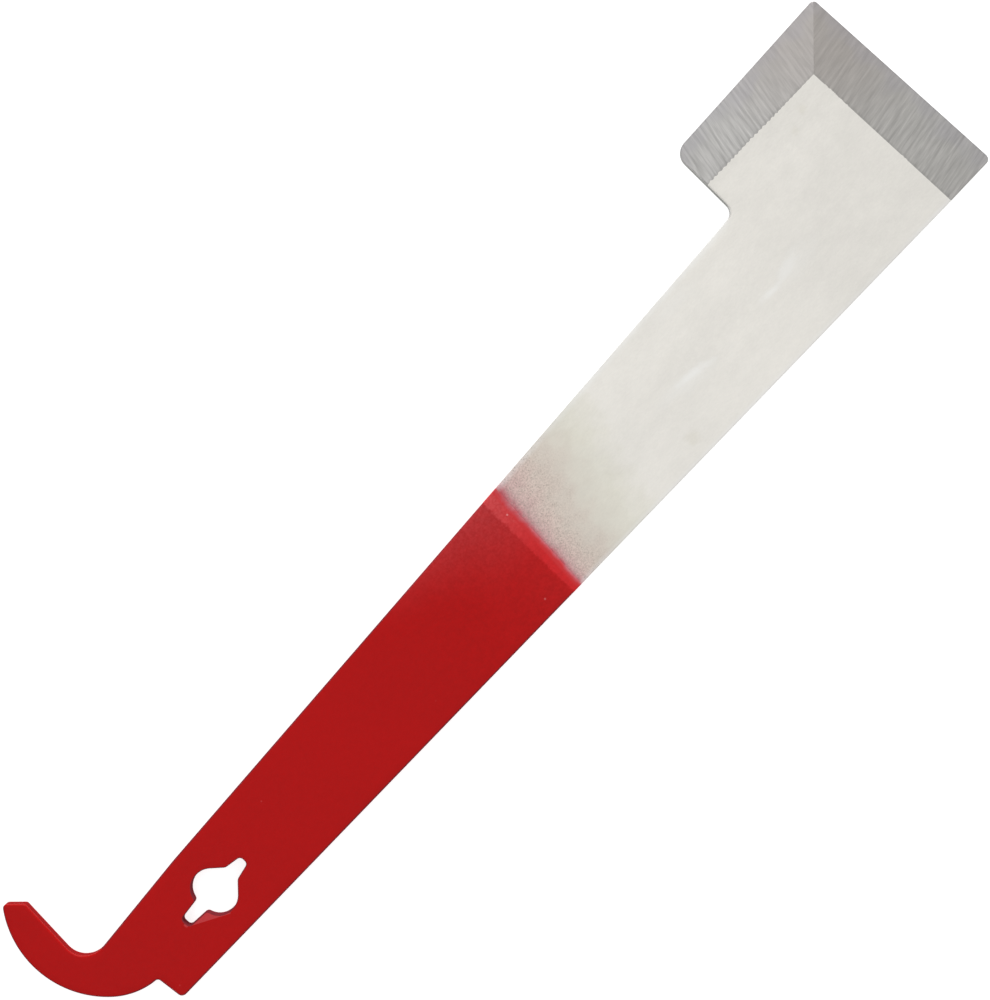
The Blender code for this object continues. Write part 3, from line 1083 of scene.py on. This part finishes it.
def veil(g, far):
    """The paint that settles past the coat's end: the colour that it gives the face, from
    full red to bare steel, how much of it is paint, and the fine specks in it."""
    out = past_mouth(g)
    side = g.along((0, 1))
    soft = g.noise(g.at, 0.30, 2, 0.5)
    rough_edge = g.noise(g.at, 1.6, 2, 0.6)
    fine = g.noise(g.at, 2.7, 2, 0.75)
    # it reaches furthest on the left and is cut shortest on the right
    pace = g.range(side, -16.0, 4.0, 1.75, 0.95)
    reach = g.math("MINIMUM", out, 6.0)
    run = g.math("ADD", out, g.math("MULTIPLY", reach, g.math("SUBTRACT", pace, 1.0)))
    run = g.math("ADD", run, g.range(rough_edge, 0.25, 0.75, -0.20, 0.20, smooth=False))
    run = g.math("ADD", run, g.range(soft, 0.3, 0.7, -0.35, 0.35))
    wide = g.math("MULTIPLY", g.range(soft, 0.3, 0.7, -0.9, 0.9), g.range(out, 1.0, 6.0))
    run = g.math("ADD", run, wide)
    ramp = g.node("ShaderNodeValToRGB")
    g.put(ramp.inputs["Fac"], g.range(run, -2.0, 30.0, smooth=False))
    stops = (
        (-1.25, (0.560, 0.031, 0.035, 1.0)),
        (-0.55, (0.535, 0.066, 0.078, 1.0)),
        (0.0, (0.520, 0.128, 0.150, 1.0)),
        (0.6, (0.535, 0.225, 0.240, 1.0)),
        (1.2, (0.548, 0.315, 0.315, 1.0)),
        (2.4, (0.585, 0.415, 0.395, 1.0)),
        (4.5, (0.635, 0.505, 0.460, 1.0)),
        (9.0, (0.642, 0.562, 0.500, 1.0)),
        (12.5, (0.664, 0.602, 0.536, 1.0)),
        (17.0, (0.708, 0.677, 0.602, 1.0)),
        (22.0, (0.755, 0.737, 0.660, 1.0)),
        (29.5, far),
    )
    elements = ramp.color_ramp.elements
    while len(elements) < len(stops):
        elements.new(0.5)
    for element, (at, colour) in zip(elements, stops):
        element.position = (at + 2.0) / 32.0
        element.color = colour
    paint = g.range(run, 6.0, -1.0, 0.0, 1.0)
    grainy = g.range(run, 18.0, 3.0)
    grainy = g.math("MULTIPLY", grainy, g.range(run, -0.6, 1.0))
    speck = g.range(fine, 0.39, 0.61, -1.0, 1.0, smooth=False)
    distance, tint = g.cells(g.at, 1.9)
    dot = g.math("MULTIPLY", g.range(distance, 0.38, 0.16), g.range(g.noise(g.at, 0.8, 1, 0.5), 0.36, 0.54))
    dot = g.math("MULTIPLY", dot, grainy)
    return ramp.outputs["Color"], paint, g.math("MULTIPLY", speck, grainy), dot


def edge_band(g, edge, width):
    """1 along an edge of the bar, falling to 0 a width inside it. edge is two points of the
    drawing with the bar on the left of their direction."""
    a, b = in_place(edge[0]), in_place(edge[1])
    length = math.hypot(b[0] - a[0], b[1] - a[1])
    n = (-(b[1] - a[1]) / length, (b[0] - a[0]) / length)
    return g.range(g.along(n, a[0] * n[0] + a[1] * n[1]), width, 0.15)


def satin_steel():
    left_edge = ((NOTCH_INNER_X, left_y(NOTCH_INNER_X)), (MOUTH_LEFT_X, left_y(MOUTH_LEFT_X)))
    right_edge = ((MOUTH_RIGHT_X, right_y(MOUTH_RIGHT_X)), (END_X, right_y(END_X)))
    g = Graph("satin_steel")
    # faint mottle of the tumbled face, and a slight grain along the bar
    cloud = g.noise(g.stretched((1, 0.03), 22.0, 10.0), 1.0, 3, 0.5)
    patch = g.noise(g.stretched((1, -0.05), 3.6, 2.3), 1.0, 3, 0.6)
    grain = g.noise(g.stretched((1, 0.05), 0.75, 0.34), 1.0, 2, 0.6)
    colour, paint, speck, dot = veil(g, STEEL)
    tone = g.math("ADD", g.range(cloud, 0.3, 0.7, 0.972, 1.020), g.range(patch, 0.3, 0.7, -0.017, 0.017))
    tone = g.math("ADD", tone, g.range(grain, 0.28, 0.72, -0.026, 0.026, smooth=False))
    tone = g.math("ADD", tone, g.range(g.along((1, 0)), 92.0, 70.0, -0.022, 0.016))
    tone = g.math("ADD", tone, g.math("MULTIPLY", speck, 0.135))
    colour = g.brighter(colour, tone)
    # painted highlights: faint bright streaks along the bar, standing in for reflections on the satin face
    for x, y, length, width, turn, light in (
        (55.6, -8.9, 5.6, 1.15, -0.20, 0.60),
        (52.5, -9.2, 8.5, 2.4, -0.17, 0.24),
        (79.8, -9.6, 3.9, 1.05, -0.05, 0.55),
        (85.6, -8.7, 5.0, 1.7, 0.26, 0.30),
        (88.0, -9.4, 7.5, 3.2, 0.08, 0.16),
        (64.0, 4.2, 8.0, 2.0, -0.02, 0.14),
        (74.0, 9.5, 9.0, 2.2, 0.03, 0.12),
    ):
        c, s = math.cos(turn), math.sin(turn)
        u = g.math("DIVIDE", g.along((c, s), x * c + y * s), length)
        v = g.math("DIVIDE", g.along((-s, c), -x * s + y * c), width)
        r = g.math("SQRT", g.math("ADD", g.math("MULTIPLY", u, u), g.math("MULTIPLY", v, v)))
        r = g.math("ADD", r, g.range(patch, 0.3, 0.7, -0.28, 0.28, smooth=False))
        colour = g.mix(g.math("MULTIPLY", g.range(r, 1.15, 0.15), light), colour, (0.905, 0.905, 0.885, 1.0))
    # a few dull yellowish stains
    for x, y, size, dark in (
        (45.3, -18.2, 1.9, 0.13),
        (28.6, 0.7, 3.0, 0.05),
        (27.0, -13.0, 5.5, 0.04),
        (113.4, 11.5, 1.3, 0.12),
        (108.8, 9.6, 0.9, 0.10),
        (112.0, 26.0, 2.4, 0.06),
    ):
        u, v = g.along((1, 0), x), g.along((0, 1), y)
        r = g.math("DIVIDE", g.math("SQRT", g.math("ADD", g.math("MULTIPLY", u, u), g.math("MULTIPLY", v, v))), size)
        r = g.math("ADD", r, g.range(patch, 0.25, 0.75, -0.5, 0.5, smooth=False))
        colour = g.mix(g.math("MULTIPLY", g.range(r, 1.2, 0.1), dark), colour, (0.56, 0.52, 0.36, 1.0))
    # painted reflection: brighter along the shank's two edges, where their rounds reflect the bright surroundings
    on_shank = g.range(g.along((1, 0), in_place(left_edge[0])[0]), -0.5, -4.0)
    near_edge = g.math("MAXIMUM", g.math("MULTIPLY", edge_band(g, left_edge, 1.6), on_shank), edge_band(g, right_edge, 1.2))
    near_edge = g.math("MULTIPLY", near_edge, g.range(patch, 0.3, 0.7, 0.6, 1.0))
    colour = g.mix(g.math("MULTIPLY", near_edge, 0.38), colour, (0.905, 0.915, 0.915, 1.0))
    colour = g.mix(g.math("MULTIPLY", dot, 0.50), colour, (0.29, 0.250, 0.210, 1.0))
    metallic = g.math("SUBTRACT", 1.0, paint, clamp=True)
    rough = g.math("ADD", g.range(patch, 0.2, 0.8, 0.43, 0.47), g.range(grain, 0.2, 0.8, -0.02, 0.02))
    rough = g.mixed(paint, rough, 0.50)
    height = g.math("ADD", g.math("MULTIPLY", grain, 0.35), g.math("MULTIPLY", patch, 0.8))
    normal = g.bump(height, 0.003)
    normal = g.bump(speck, 0.004, 0.6, normal)
    return g.finish(colour, rough, metallic, normal, specular=0.15)


def ground_steel(name, direction, base, dark_rim, rim_line, inner_line, pitch):
    """A coarsely ground face: streaks of varying width along the grind direction."""
    g = Graph(name)
    cx, cy = in_place(CORNER)
    u, v = g.along((1, 0), cx), g.along((0, 1), cy)
    far = g.math("SQRT", g.math("ADD", g.math("MULTIPLY", u, u), g.math("MULTIPLY", v, v)))
    coarse = g.range(far, 10.0, 42.0, 0.52, 1.26)
    broad = g.noise(g.stretched(direction, 90.0, 3.2), 1.0, 2, 0.5)
    medium = g.noise(g.stretched(direction, 150.0, 0.62), 1.0, 2, 0.55)
    fine = g.noise(g.stretched(direction, 60.0, 0.22), 1.0, 2, 0.6)
    # the wheel's chatter leaves bands at a nearly even pitch
    band = g.math("SINE", g.math("ADD", g.math("MULTIPLY", g.along((-direction[1], direction[0])), 2 * math.pi / pitch), g.range(broad, 0.2, 0.8, -3.0, 3.0, smooth=False)))
    band = g.math("MULTIPLY", band, g.range(g.noise(g.at, 0.22, 2, 0.5), 0.3, 0.7, 0.2, 1.0))
    cloud = g.noise(g.at, 0.16, 2, 0.5)
    lines = g.math("ADD", g.range(medium, 0.36, 0.64, -0.055, 0.055, smooth=False), g.range(fine, 0.34, 0.66, -0.070, 0.070, smooth=False))
    lines = g.math("ADD", lines, g.math("MULTIPLY", band, 0.046))
    tone = g.math("ADD", g.range(broad, 0.3, 0.7, 0.984, 1.012), g.range(cloud, 0.3, 0.7, -0.012, 0.012))
    tone = g.math("ADD", tone, g.math("MULTIPLY", lines, coarse))
    scratch = g.range(g.noise(g.stretched(direction, 22.0, 0.30), 1.0, 2, 0.5), 0.66, 0.74)
    tone = g.math("ADD", tone, g.math("MULTIPLY", scratch, 0.07))
    gouge = g.range(g.noise(g.stretched(direction, 26.0, 0.36), 1.3, 2, 0.5), 0.34, 0.27)
    tone = g.math("SUBTRACT", tone, g.math("MULTIPLY", gouge, 0.08))
    colour = g.brighter(base, tone)
    # warmer and a shade darker towards the square corner
    colour = g.mix(g.range(far, 36.0, 10.0), colour, (0.91, 0.872, 0.858, 1.0), "MULTIPLY")
    # the step where the grinding left the flat is a shade darker
    p, q = in_place(inner_line[0]), in_place(inner_line[1])
    span = math.hypot(q[0] - p[0], q[1] - p[1])
    m = (-(q[1] - p[1]) / span, (q[0] - p[0]) / span)
    depth = g.along(m, p[0] * m[0] + p[1] * m[1])
    depth = g.math("ADD", depth, g.range(medium, 0.2, 0.8, -0.25, 0.25))
    step = g.range(depth, 0.75, 0.05)
    colour = g.mix(g.math("MULTIPLY", step, 0.30), colour, (0.27, 0.265, 0.255, 1.0))
    # temper tint towards the cutting edge
    a, b = in_place(rim_line[0]), in_place(rim_line[1])
    length = math.hypot(b[0] - a[0], b[1] - a[1])
    n = (-(b[1] - a[1]) / length, (b[0] - a[0]) / length)
    out = g.along(n, a[0] * n[0] + a[1] * n[1])
    tint = g.math("MULTIPLY", g.range(g.math("ADD", out, g.range(cloud, 0.2, 0.8, -2.5, 2.5)), 4.5, 0.3), dark_rim)
    colour = g.mix(tint, colour, (0.40, 0.385, 0.425, 1.0))
    burr = g.range(g.math("ADD", out, g.range(medium, 0.2, 0.8, -0.12, 0.12)), 0.42, 0.12)
    colour = g.mix(g.math("MULTIPLY", burr, 0.18), colour, (0.22, 0.215, 0.225, 1.0))
    rough = g.math("ADD", g.range(medium, 0.25, 0.75, 0.38, 0.45), g.range(fine, 0.25, 0.75, -0.03, 0.03))
    height = g.math("ADD", g.math("MULTIPLY", fine, 0.45), g.math("MULTIPLY", medium, 1.0))
    normal = g.bump(height, 0.010)
    return g.finish(colour, rough, 1.0, normal)


def cut_steel():
    """The bar's sheared edges: duller, with upright marks."""
    g = Graph("cut_steel")
    marks = g.node("ShaderNodeCombineXYZ")
    g.put(marks.inputs[0], g.math("DIVIDE", g.along((1, 0)), 0.30))
    g.put(marks.inputs[1], g.math("DIVIDE", g.along((0, 1)), 0.30))
    g.put(marks.inputs[2], g.math("DIVIDE", g.along((0, 0, 1)), 3.5))
    upright = g.noise(marks.outputs[0], 1.0, 3, 0.6)
    cloud = g.noise(g.at, 0.5, 3, 0.6)
    # the sheared upper part is brighter than the torn lower part
    torn = g.range(g.math("ADD", g.along((0, 0, 1)), g.range(cloud, 0.2, 0.8, -0.35, 0.35)), 1.35, 0.95)
    tone = g.math("ADD", g.range(upright, 0.25, 0.75, 0.86, 1.12), g.range(cloud, 0.25, 0.75, -0.06, 0.06))
    colour = g.brighter(g.mix(torn, (0.52, 0.51, 0.49, 1.0), (0.36, 0.35, 0.335, 1.0)), tone)
    # the notch's wall is darker
    nx, ny = in_place((NOTCH_OUTER_X, left_y(NOTCH_INNER_X)))
    notch = g.math("MULTIPLY", g.range(g.math("ABSOLUTE", g.along((1, 0), nx)), 4.5, 2.5), g.range(g.along((0, 1), ny), 0.5, 3.0))
    colour = g.mix(g.math("MULTIPLY", notch, 0.75), colour, (0.13, 0.135, 0.12, 1.0))
    # the coat's mist reaches a little way along the edge too
    out = g.math("ADD", past_mouth(g), g.range(cloud, 0.2, 0.8, -0.9, 0.9))
    full = g.range(out, 1.6, -0.1)
    colour = g.mix(full, colour, RED)
    metallic = g.math("SUBTRACT", 1.0, full, clamp=True)
    rough = g.math("ADD", g.range(torn, 0.0, 1.0, 0.40, 0.56), g.range(upright, 0.2, 0.8, -0.05, 0.05))
    normal = g.bump(g.math("ADD", upright, g.math("MULTIPLY", torn, 0.2)), 0.030)
    return g.finish(colour, rough, metallic, normal)


def back_steel():
    """The plain back face: mill finish with long faint scratches and a few marks."""
    g = Graph("back_steel")
    cloud = g.noise(g.at, 0.08, 4, 0.6)
    patch = g.noise(g.at, 0.4, 3, 0.6)
    lines = g.noise(g.stretched((1, 0.02), 28.0, 0.30), 1.0, 3, 0.6)
    tone = g.math("ADD", g.range(cloud, 0.3, 0.7, 0.93, 1.03), g.range(lines, 0.25, 0.75, -0.045, 0.045))
    tone = g.math("ADD", tone, g.range(patch, 0.25, 0.75, -0.02, 0.02))
    scratch = g.range(g.noise(g.stretched((0.97, 0.24), 18.0, 0.25), 1.0, 2, 0.5), 0.68, 0.75)
    tone = g.math("ADD", tone, g.math("MULTIPLY", scratch, 0.12))
    colour = g.brighter((0.70, 0.685, 0.65, 1.0), tone)
    speckle = g.noise(g.at, 2.6, 3, 0.7)
    out = g.math("ADD", past_mouth(g), g.range(speckle, 0.2, 0.8, -0.8, 0.8))
    full = g.range(out, 1.5, -0.1)
    mist = g.math("MULTIPLY", g.range(out, 9.0, 0.5), g.range(speckle, 0.45, 0.62))
    colour = g.mix(g.math("MULTIPLY", mist, 0.55), colour, RED_MIST)
    colour = g.mix(full, colour, RED)
    metallic = g.math("SUBTRACT", 1.0, g.math("MAXIMUM", full, g.math("MULTIPLY", mist, 0.6)), clamp=True)
    rough = g.math("ADD", g.range(patch, 0.2, 0.8, 0.36, 0.44), g.range(lines, 0.2, 0.8, -0.04, 0.04))
    normal = g.bump(g.math("ADD", lines, g.math("MULTIPLY", patch, 0.8)), 0.010)
    return g.finish(colour, rough, metallic, normal)


def red_coat(name, base, specular=0.12):
    """Sprayed and baked enamel: slight orange peel, small nibs, dry spray by its end, a painted sheen towards the
    shoulder and a painted highlight over the ramp.
    """
    g = Graph(name)
    cloud = g.noise(g.at, 0.045, 3, 0.5)
    peel = g.noise(g.at, 0.62, 2, 0.5)
    tight = g.noise(g.at, 1.9, 2, 0.55)
    out = past_mouth(g)
    side = g.along((0, 1))
    coarse = g.range(out, -45.0, -8.0, 0.7, 2.0)
    tone = g.math("ADD", g.range(peel, 0.28, 0.72, -0.024, 0.024), g.range(tight, 0.28, 0.72, -0.022, 0.022))
    tone = g.math("ADD", g.range(cloud, 0.3, 0.7, 0.975, 1.02), g.math("MULTIPLY", tone, coarse))
    # towards the shoulder, most on the left, the coat is painted a lighter red as a painted sheen, and dry spray
    # makes it rougher there
    reach = g.math("ADD", out, g.range(side, -14.0, 14.0, -9.0, 9.0))
    dry_spray_and_sheen = g.range(g.math("ADD", reach, g.range(cloud, 0.3, 0.7, -4.0, 4.0)), -34.0, 3.0)
    dry_spray_and_sheen = g.math("MULTIPLY", dry_spray_and_sheen, g.range(side, -13.0, 9.0, 0.20, 1.0))
    dry_spray_and_sheen = g.math("MULTIPLY", dry_spray_and_sheen, g.range(tight, 0.25, 0.75, 0.75, 1.25))
    colour = g.mix(g.math("MULTIPLY", dry_spray_and_sheen, 0.50), base, (0.525, 0.064, 0.070, 1.0))
    # painted highlight: the ramp is painted a lighter red for the light on its tilted face, lighter still towards the
    # left side
    a, b = in_place(CREASE[0]), in_place(CREASE[1])
    length = math.hypot(b[0] - a[0], b[1] - a[1])
    n = (-(b[1] - a[1]) / length, (b[0] - a[0]) / length)
    past_crease = g.math("ADD", g.along(n, a[0] * n[0] + a[1] * n[1]), g.range(tight, 0.25, 0.75, -0.15, 0.15))
    ramp = g.range(past_crease, -0.30, 0.45)
    ramp_highlight_side = g.math("MULTIPLY", g.range(side, -12.0, 12.0), g.range(tight, 0.2, 0.8, 0.7, 1.3))
    lighter = g.mix(g.math("MULTIPLY", ramp_highlight_side, 0.78), RED_RAMP_HIGHLIGHT, (0.60, 0.085, 0.09, 1.0))
    colour = g.mix(g.math("MULTIPLY", ramp, 0.85), colour, lighter)
    colour = g.brighter(colour, tone)
    # small nibs of dust under the enamel
    far, tint = g.cells(g.at, 0.16)
    nib = g.range(far, 0.050, 0.018)
    colour = g.mix(g.math("MULTIPLY", nib, 0.30), colour, (0.55, 0.10, 0.10, 1.0))
    for x, y, size, light in ((6.6, 0.5, 0.30, 0.55), (-1.35, -17.5, 0.34, 0.22)):
        u, v = g.along((1, 0), x), g.along((0, 1), y)
        r = g.math("SQRT", g.math("ADD", g.math("MULTIPLY", u, u), g.math("MULTIPLY", v, v)))
        colour = g.mix(g.math("MULTIPLY", g.range(r, size, size * 0.3), light), colour, (0.85, 0.36, 0.36, 1.0))
    # the last millimetre fades into the mist on the steel
    veiled, paint, speck, dot = veil(g, STEEL)
    colour = g.mix(g.range(out, -1.6, -0.9), colour, veiled)
    rough = g.math("ADD", g.range(cloud, 0.3, 0.7, 0.33, 0.38), g.range(tight, 0.2, 0.8, -0.03, 0.03))
    rough = g.mixed(g.math("MULTIPLY", dry_spray_and_sheen, 0.5), rough, 0.50)
    height = g.math("ADD", g.math("MULTIPLY", peel, 1.0), g.math("MULTIPLY", tight, 0.30))
    normal = g.bump(height, 0.040)
    normal = g.bump(nib, 0.02, 1.0, normal)
    return g.finish(colour, rough, 0.0, normal, specular=specular)


# ---- the piece's two bodies

END_RIM = ((END_X, 0.0), (END_X, HEAD_LEFT_Y))
SIDE_RIM = ((END_X, HEAD_LEFT_Y), (NOTCH_OUTER_X, HEAD_LEFT_Y))

steel = steel_bar(
    [
        satin_steel(),
        ground_steel("ground_end", GRIND_END, (0.440, 0.430, 0.412, 1.0), 0.30, END_RIM, END_LINE, 1.45),
        ground_steel("ground_side", GRIND_SIDE, (0.474, 0.466, 0.452, 1.0), 0.28, SIDE_RIM, SIDE_LINE, 1.18),
        cut_steel(),
        back_steel(),
    ]
)
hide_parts("steel_bar")
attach(steel, "root")

coating = coat(
    [
        red_coat("red_coat", RED),
        # the edge and wall reds are darker copies of the red, painted as shade; the facet red is a lighter copy,
        # painted as highlight
        red_coat("red_coat_painted_edge_shade", RED_EDGE_SHADE, 0.0),
        red_coat("red_coat_painted_facet_highlight", RED_FACET_HIGHLIGHT, 0.2),
        red_coat("red_coat_painted_wall_shade", RED_WALL_SHADE, 0.0),
    ]
)
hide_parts("handle_coating")
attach(coating, "root")

# ---- floor, light and camera


def floor():
    size = 4.0
    z = CAD_BOX[0].z - 0.0002
    mesh = bpy.data.meshes.new("floor")
    mesh.from_pydata([(-size, -size, z), (size, -size, z), (size, size, z), (-size, size, z)], [], [(0, 1, 2, 3)])
    g = Graph("pale_floor")
    soft = g.noise(g.at, 0.01, 2, 0.5)
    g.finish(g.brighter((0.45, 0.45, 0.45, 1.0), g.range(soft, 0.2, 0.8, 0.99, 1.01)), 0.9, 0.0, specular=0.0)
    g.shader.inputs["Emission Color"].default_value = (1.0, 1.0, 1.0, 1.0)
    g.shader.inputs["Emission Strength"].default_value = 0.80
    mesh.materials.append(g.material)
    made = bpy.data.objects.new("floor", mesh)
    bpy.context.scene.collection.objects.link(made)
    return made


def softbox(name, at, towards, size, power, colour=(1.0, 1.0, 1.0)):
    data = bpy.data.lights.new(name, "AREA")
    data.shape = "RECTANGLE"
    data.size, data.size_y = size
    data.energy = power
    data.color = colour
    made = bpy.data.objects.new(name, data)
    bpy.context.scene.collection.objects.link(made)
    made.location = at
    made.rotation_euler = (Vector(towards) - Vector(at)).to_track_quat("-Z", "Y").to_euler()
    made.visible_camera = False
    return made


floor()
# a low raking key from beyond the head, on the hook's open side
KEY_TURN, KEY_RISE, KEY_FAR = math.radians(38.0), math.radians(20.0), 2.0
softbox(
    "key_light",
    (
        KEY_FAR * math.cos(KEY_RISE) * math.cos(KEY_TURN),
        KEY_FAR * math.cos(KEY_RISE) * math.sin(KEY_TURN),
        KEY_FAR * math.sin(KEY_RISE),
    ),
    (0.0, 0.0, 0.0),
    (1.0, 0.5),
    26.0,
)

# a studio sky: bright overhead, softer half way down, and white at the horizon like the floor
world = bpy.data.worlds.new("studio")
bpy.context.scene.world = world
world.use_nodes = True
sky = world.node_tree
toward = sky.nodes.new("ShaderNodeTexCoord")
parts = sky.nodes.new("ShaderNodeSeparateXYZ")
shade = sky.nodes.new("ShaderNodeValToRGB")
sky.links.new(toward.outputs["Generated"], parts.inputs[0])
sky.links.new(parts.outputs["Z"], shade.inputs["Fac"])
sky.links.new(shade.outputs["Color"], sky.nodes["Background"].inputs["Color"])
levels = ((0.0, 1.0), (0.03, 0.98), (0.12, 0.86), (0.28, 0.80), (0.42, 0.46), (0.60, 0.46), (0.78, 0.74), (0.90, 0.94), (1.0, 1.0))
while len(shade.color_ramp.elements) < len(levels):
    shade.color_ramp.elements.new(0.5)
for element, (at, level) in zip(shade.color_ramp.elements, levels):
    element.position = at
    element.color = (level, level, level, 1.0)
sky.nodes["Background"].inputs["Strength"].default_value = 1.0

bpy.context.scene.view_settings.view_transform = "Standard"
bpy.context.scene.view_settings.look = "None"

camera = bpy.data.objects.new("camera", bpy.data.cameras.new("camera"))
bpy.context.scene.collection.objects.link(camera)
camera.location = (0.00721, 0.00456, 0.414)
camera.rotation_euler = (0.0, 0.0, math.radians(-48.05))
camera.data.sensor_width = 36.0
camera.data.lens = 69.3
camera.data.clip_start, camera.data.clip_end = 0.01, 20.0
bpy.context.scene.camera = camera

bpy.context.view_layer.update()
